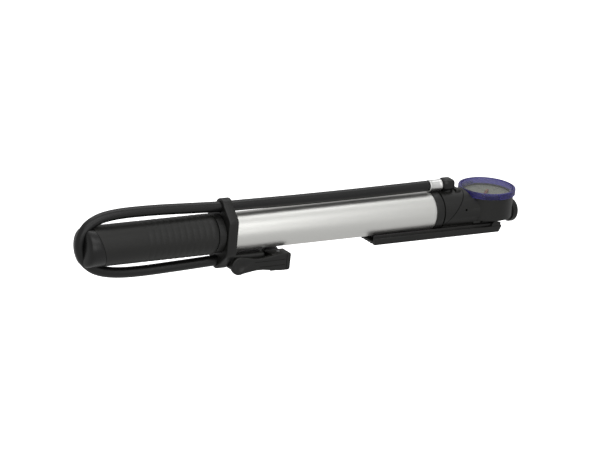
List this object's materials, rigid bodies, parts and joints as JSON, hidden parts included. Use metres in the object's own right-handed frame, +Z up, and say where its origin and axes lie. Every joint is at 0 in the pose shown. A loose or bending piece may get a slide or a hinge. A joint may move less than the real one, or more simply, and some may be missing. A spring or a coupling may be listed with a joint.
{
  "type": "mini pump",
  "caption": "Hand pump for bicycle tyres with a ribbed handle, a wrapped hose with a lever head, a pressure gauge and a fold-out foot plate.",
  "frame": {"origin": "middle of the foot plate's flat underside, folded against the barrel", "axes": "+X along the barrel from the handle towards the gauge head, +Z up through the gauge's dial, -Y towards the valve lever"},
  "size_m": [0.3178, 0.0362, 0.0504],
  "materials": {
    "satin_aluminium": "satin, drawn along the barrel",
    "polished_aluminium": "bright turned",
    "steel": "satin",
    "brass": "machined",
    "black_nylon": "fine moulded texture",
    "black_gloss": "smooth moulded",
    "grip_rubber": "soft matt",
    "hose_rubber": "smooth extruded",
    "seal_rubber": "greased",
    "blue_clear": "tinted clear",
    "lens_clear": "clear",
    "dial_grey": "printed",
    "needle_red": "painted"
  },
  "bodies": {
    "pump_body": {"barrel_tube": "satin_aluminium", "hose_collar": "black_nylon", "rod_guide": "black_nylon", "rod_seal": "seal_rubber", "end_ring": "black_nylon", "head_body": "black_nylon", "neck_sleeve": "black_nylon", "hose_elbow": "black_gloss", "elbow_seal": "seal_rubber", "hose_ferrule": "polished_aluminium", "hose": "hose_rubber", "valve_seat": "brass", "gauge_socket": "brass", "bourdon_tube": "brass", "gauge_movement": "brass", "gauge_dial": "dial_grey", "gauge_cap": "blue_clear", "gauge_lens": "lens_clear", "end_plug": "black_gloss", "plug_seal": "seal_rubber", "foot_pin": "steel", "valve_head": "black_nylon", "hose_barb": "brass", "valve_grommet": "seal_rubber", "nose_nut": "black_gloss", "lever_pin": "steel"},
    "plunger": {"piston_rod": "steel", "piston": "black_nylon", "piston_ring": "seal_rubber", "piston_screw": "steel", "handle_core": "black_nylon", "handle_screw": "steel", "grip_sleeve": "grip_rubber", "handle_cap": "black_gloss"},
    "foot": {"foot_plate": "black_nylon"},
    "lever": {"valve_lever": "black_nylon"},
    "needle": {"needle_arbor": "brass", "gauge_needle": "needle_red"},
    "check_disc": {"valve_disc": "seal_rubber", "valve_spring": "steel"}
  },
  "joints": [
    {"name": "plunger_slide", "type": "slide", "parent": "pump_body", "child": "plunger", "axis": [-1, 0, 0], "range_m": [0, 0.108], "deforming": ["hose"]},
    {"name": "foot_fold", "type": "hinge", "parent": "pump_body", "child": "foot", "pos_m": [0.04245, 0, 0.0043], "axis": [0, -1, 0], "range_deg": [0, 100]},
    {"name": "lever_flip", "type": "hinge", "parent": "pump_body", "child": "lever", "pos_m": [-0.11385, -0.0064, -0.0039], "axis": [0, 0, 1], "range_deg": [0, 90]},
    {"name": "needle_turn", "type": "hinge", "parent": "pump_body", "child": "needle", "pos_m": [0.04085, 0, 0.0227], "axis": [0, 0, -1], "range_deg": [0, 270], "stiffness_Nm_per_rad": 0.0002},
    {"name": "check_lift", "type": "slide", "parent": "pump_body", "child": "check_disc", "axis": [1, 0, 0], "range_m": [0, 0.001], "stiffness_N_per_m": 60, "springref_m": -0.0003, "deforming": ["valve_spring"]}
  ]
}
